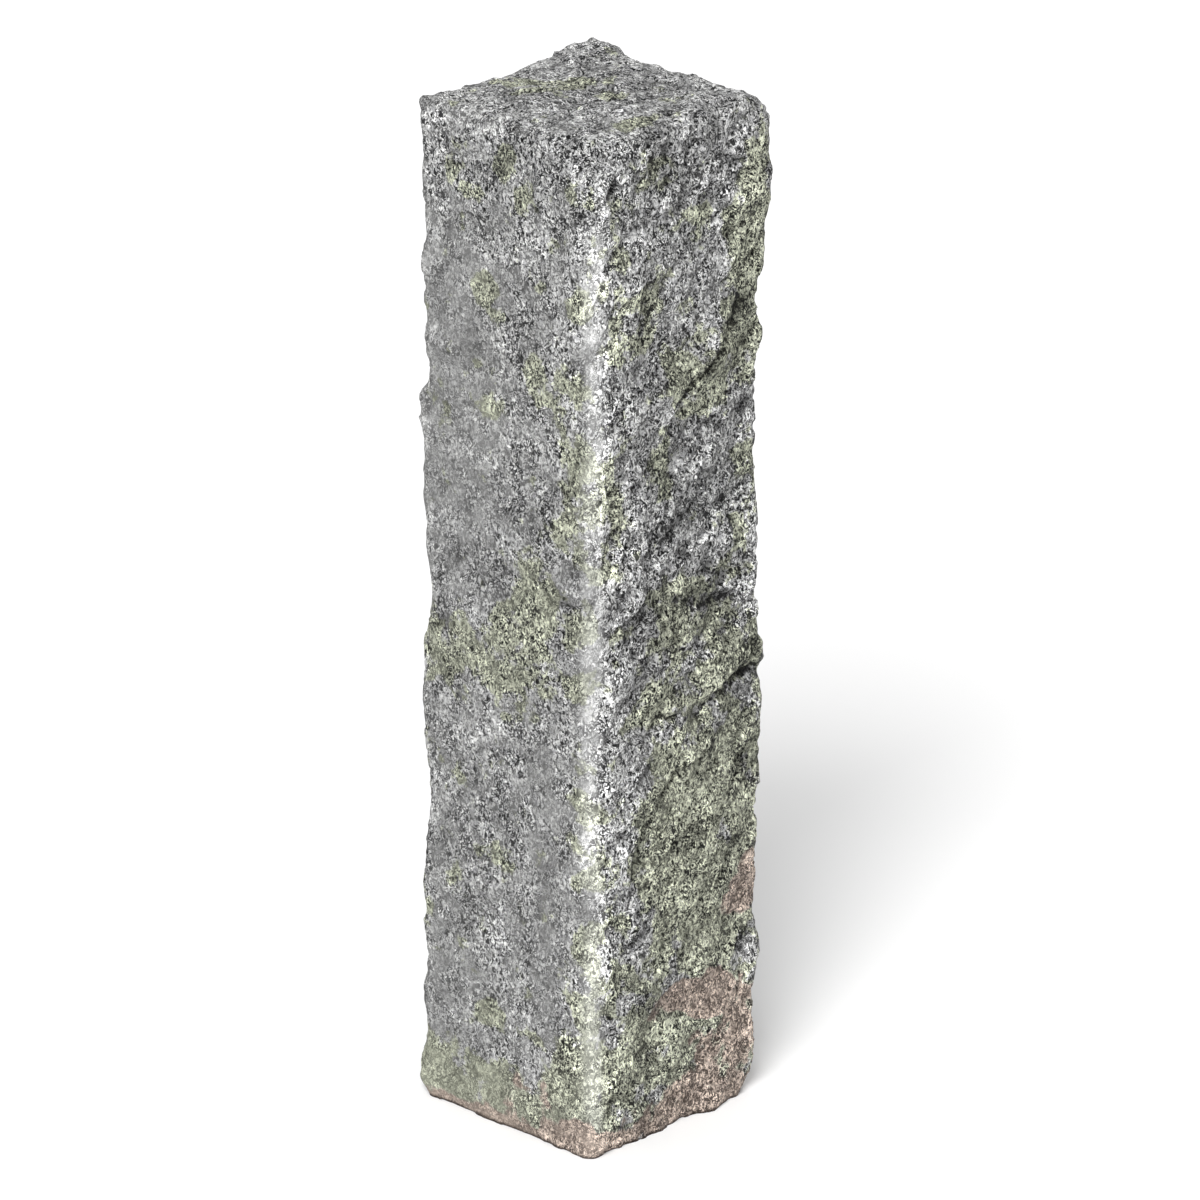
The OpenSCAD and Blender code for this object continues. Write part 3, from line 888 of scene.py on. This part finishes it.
# How matt stone and mica are, and how strongly they shine
STONE_ROUGHNESS, MICA_ROUGHNESS = 0.85, 0.5
STONE_SHINE = 0.2


def grain_contrast(tree, position, marks):
    """How strongly the minerals differ from place to place."""
    lively = rescaled(tree, clouds(tree, position, LIVELY_PITCH), *LIVELY_RANGE)
    contrast = weighed(tree, add(tree, lively, EVEN_CONTRAST), marks, CONTRAST_WEIGHTS)
    return larger(tree, contrast, LEAST_CONTRAST)


def mottled(tree, colour, drawn, marks):
    """The granite's paler and darker areas, the painted light and painted shade of its patches, and the
    bruised stone beside its worn arris, lighter partly as a painted highlight.
    """
    small, broad = (
        rescaled(tree, clouds(tree, drawn, pitch, detail), *MOTTLE_NOISE, -change, change)
        for pitch, detail, change in MOTTLES
    )
    mottle = times(tree, add(tree, small, broad), weighed(tree, SMOOTH_MOTTLE, marks, MOTTLE_WEIGHTS))
    colour = scaled(tree, colour, weighed(tree, add(tree, EVEN_LEVEL, mottle), marks, LEVEL_WEIGHTS))
    return scaled(tree, colour, weighed(tree, 1.0, marks, BRUISED_AND_HIGHLIT_WEIGHTS))


def rubbed_and_highlit(tree, colour, position, marks):
    """The worn arris made pale, partly rubbed by wear and partly a painted highlight, more in some places
    than in others.
    """
    uneven = clouds(tree, position, RUB_PITCH, detail=4.0, roughness=0.6)
    rub_and_highlight = times(tree, marks["worn"], rescaled(tree, uneven, *RUB_RANGE))
    whitened = blended(tree, CRUSHED_SHARE, scaled(tree, colour, RUBBED_AND_HIGHLIT_LIGHTER), (*CRUSHED_TONE, 1))
    return blended(tree, rub_and_highlight, colour, whitened)


def with_dirt_and_painted_shade(tree, colour, position, seam, marks):
    """Dirt and painted shade in small hollows and crevices, a painted shadow beside crevices, painted shade
    along seams and in broad hollows, and painted light on the crowns between them.
    """
    ragged = minus(tree, clouds(tree, position, RAGGED_PITCH), NOISE_MIDDLE)
    beside = add(tree, marks["from_crevice"], times(tree, ragged, CREVICE_RAGGEDNESS))
    # Painted shade along the seams, then dirt and painted shade in small hollows and crevice cores, and a
    # painted shadow beside crevices
    dirt_and_shade = times(tree, times(tree, seam, marks["rough"]), SEAM_PAINTED_SHADE)
    darkened_places = ((marks["hollow"], HOLLOW_DIRT_AND_SHADE), (beside, CREVICE_PAINTED_SHADOW), (beside, CREVICE_DIRT_AND_SHADE))
    for value, (unmarked, darkest, darkness) in darkened_places:
        dirt_and_shade = larger(tree, dirt_and_shade, times(tree, rescaled(tree, value, unmarked, darkest), darkness))
    colour = scaled(tree, colour, minus(tree, 1.0, dirt_and_shade))
    for begins, full, paler in (HOLLOW_SHADE, CROWN_LIGHT):
        depth = rescaled(tree, marks["broad_hollow"], begins, full)
        colour = scaled(tree, colour, add(tree, 1.0, times(tree, depth, paler)))
    return colour


def overgrown(tree, colour, position, marks):
    """Algae in patches, soil that stains the stone near its foot, and earth along the edge of the foot."""
    patch = clouds(tree, position, ALGAE_PITCH, detail=5.0, roughness=0.65)
    damp = clouds(tree, position, DAMP_PITCH, detail=4.0)
    soiled = add(tree, times(tree, damp, SOIL_UNEVENNESS), marks["soil"])
    soiled = rescaled(tree, soiled, SOIL_EDGE, SOIL_FULL)
    grown = rescaled(tree, weighed(tree, patch, marks, ALGAE_WEIGHTS), ALGAE_EDGE, ALGAE_FULL)
    grown = times(tree, grown, minus(tree, 1.0, soiled))
    grown = times(tree, grown, weighed(tree, 1.0, marks, WORN_OFF_WEIGHTS))
    colour = blended(tree, grown, colour, tinted(tree, colour, ALGAE_TINT))
    soil = blended(tree, SOIL_COVER, tinted(tree, colour, SOIL_TINT), (*SOIL_COLOUR, 1))
    colour = blended(tree, soiled, colour, soil)
    height = place(tree, "ShaderNodeSeparateXYZ", {0: position}).outputs["Z"]
    height = minus(tree, height, times(tree, damp, EARTH_UNEVENNESS))
    earth = times(tree, rescaled(tree, height, EARTH_EDGE, EARTH_FULL), EARTH_COVER)
    return blended(tree, earth, colour, (*EARTH_COLOUR, 1))


def fine_relief(tree, position, seam, grain_height, rough):
    """Height in mm of what is finer than the mesh: grains, pits, and on rough stone small chips and seams."""
    pits = times(tree, clouds(tree, position, PIT_PITCH, roughness=0.6), PIT_HEIGHT)
    fine = add(tree, pits, times(tree, grain_height, GRAIN_HEIGHT))
    coarse = add(tree, *(small_chips(tree, position, pitch, slope) for pitch, slope in SMALL_CHIPS))
    coarse = minus(tree, coarse, times(tree, seam, SEAM_DEPTH))
    return add(tree, fine, times(tree, coarse, rough))


def granite():
    """Split granite with its arris worn pale and a painted highlight along it, painted light and shade on its
    relief, algae on the rough faces and soil at the foot.
    """
    material = bpy.data.materials.new("split_granite")
    material.use_nodes = True
    tree = material.node_tree
    shader = tree.nodes["Principled BSDF"]
    position = place(tree, "ShaderNodeTexCoord").outputs["Object"]
    marks = {name: place(tree, "ShaderNodeAttribute", attribute_name=name).outputs["Fac"] for name in MARKS}
    drawn = place(tree, "ShaderNodeAttribute", attribute_name="drawn").outputs["Vector"]
    seam = seams(tree, drawn, SEAM_PITCH)

    upright = vector_calc(tree, "MULTIPLY", position, GRAIN_DRAW)
    sockets = {"Position": upright, "Contrast": grain_contrast(tree, position, marks)}
    grains = place(tree, "ShaderNodeGroup", sockets, node_tree=mineral_grains()).outputs
    colour = mottled(tree, grains["Color"], drawn, marks)
    colour = rubbed_and_highlit(tree, colour, position, marks)
    colour = with_dirt_and_painted_shade(tree, colour, position, seam, marks)
    colour = overgrown(tree, colour, position, marks)
    tree.links.new(colour, shader.inputs["Base Color"])

    shader.inputs["Specular IOR Level"].default_value = STONE_SHINE
    matt = rescaled(tree, grains["Mica"], 0.0, 1.0, STONE_ROUGHNESS, MICA_ROUGHNESS)
    tree.links.new(matt, shader.inputs["Roughness"])
    relief = fine_relief(tree, position, seam, grains["Height"], marks["rough"])
    bump = place(tree, "ShaderNodeBump", {"Height": relief, "Strength": 1.0, "Distance": 1.0 * MM})
    tree.links.new(bump.outputs[0], shader.inputs["Normal"])
    return material


FLOOR_REACH = 12.0  # from the stone to each side of the floor
FLOOR_COLOUR = grey(0.82)
FLOOR_ROUGHNESS = 0.9


def pale_floor():
    """A large pale floor that shows nearly white and keeps the stone's shadow."""
    mesh = bpy.data.meshes.new("floor")
    corners = [(x * FLOOR_REACH, y * FLOOR_REACH, 0) for x, y in ((-1, -1), (1, -1), (1, 1), (-1, 1))]
    mesh.from_pydata(corners, [], [(0, 1, 2, 3)])
    floor = bpy.data.objects.new("floor", mesh)
    bpy.context.collection.objects.link(floor)
    material = bpy.data.materials.new("pale_floor")
    material.use_nodes = True
    tree = material.node_tree
    shader = tree.nodes["Principled BSDF"]
    path = place(tree, "ShaderNodeLightPath").outputs
    seen = larger(tree, path["Is Glossy Ray"], path["Is Transmission Ray"])
    seen = larger(tree, path["Is Camera Ray"], seen)
    colour = blended(tree, seen, (*FLOOR_COLOUR, 1), (1, 1, 1, 1))
    tree.links.new(colour, shader.inputs["Base Color"])
    shader.inputs["Roughness"].default_value = FLOOR_ROUGHNESS
    mesh.materials.append(material)


WORLD_STRENGTH = 0.585
KEY_STRENGTH = 2.55
KEY_SPREAD = math.radians(24)
KEY_AZIMUTH = math.radians(31)
KEY_HEIGHT = math.radians(44)

CAMERA_AZIMUTH = math.radians(44.4)
CAMERA_HEIGHT = math.radians(21.7)
CAMERA_DISTANCE = 4.5
CAMERA_LENS = 289.2
CAMERA_SENSOR = 36.0
CAMERA_SIGHT = 100.0
AIM_HEIGHT = 250 * MM
AIM_ASIDE = 2.4 * MM  # to the right of the stone's middle
AIM_ABOVE = 1.4 * MM


def way_out(azimuth, height):
    """Which way something lies from the stone, by its angle from the front to the right and its height."""
    level = math.cos(height)
    return Vector((math.sin(azimuth) * level, -math.cos(azimuth) * level, math.sin(height)))


def studio_light():
    """Even light from all round, and a soft sun above the camera and a little to its left."""
    world = bpy.data.worlds.new("studio")
    bpy.context.scene.world = world
    world.use_nodes = True
    background = world.node_tree.nodes["Background"]
    background.inputs["Color"].default_value = (1, 1, 1, 1)
    background.inputs["Strength"].default_value = WORLD_STRENGTH
    lamp = bpy.data.lights.new("key", "SUN")
    lamp.energy = KEY_STRENGTH
    lamp.angle = KEY_SPREAD
    key = bpy.data.objects.new("key", lamp)
    bpy.context.collection.objects.link(key)
    key.rotation_euler = way_out(KEY_AZIMUTH, KEY_HEIGHT).to_track_quat("Z", "Y").to_euler()


def camera():
    """A long lens from in front and a little above, towards the worn arris."""
    back = way_out(CAMERA_AZIMUTH, CAMERA_HEIGHT)
    aside = Vector((math.cos(CAMERA_AZIMUTH), math.sin(CAMERA_AZIMUTH), 0))
    aim = Vector((0, 0, AIM_HEIGHT)) + AIM_ASIDE * aside + AIM_ABOVE * back.cross(aside)
    lens = bpy.data.cameras.new("camera")
    lens.lens = CAMERA_LENS
    lens.sensor_width = CAMERA_SENSOR
    lens.clip_end = CAMERA_SIGHT
    eye = bpy.data.objects.new("camera", lens)
    bpy.context.collection.objects.link(eye)
    eye.location = aim + CAMERA_DISTANCE * back
    eye.rotation_euler = back.to_track_quat("Z", "Y").to_euler()
    bpy.context.scene.camera = eye


stone = split_stone()
stone.data.materials.append(granite())
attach(stone, "root")
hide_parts(STONE_NODE)

pale_floor()
studio_light()
camera()
bpy.context.scene.view_settings.view_transform = "Standard"
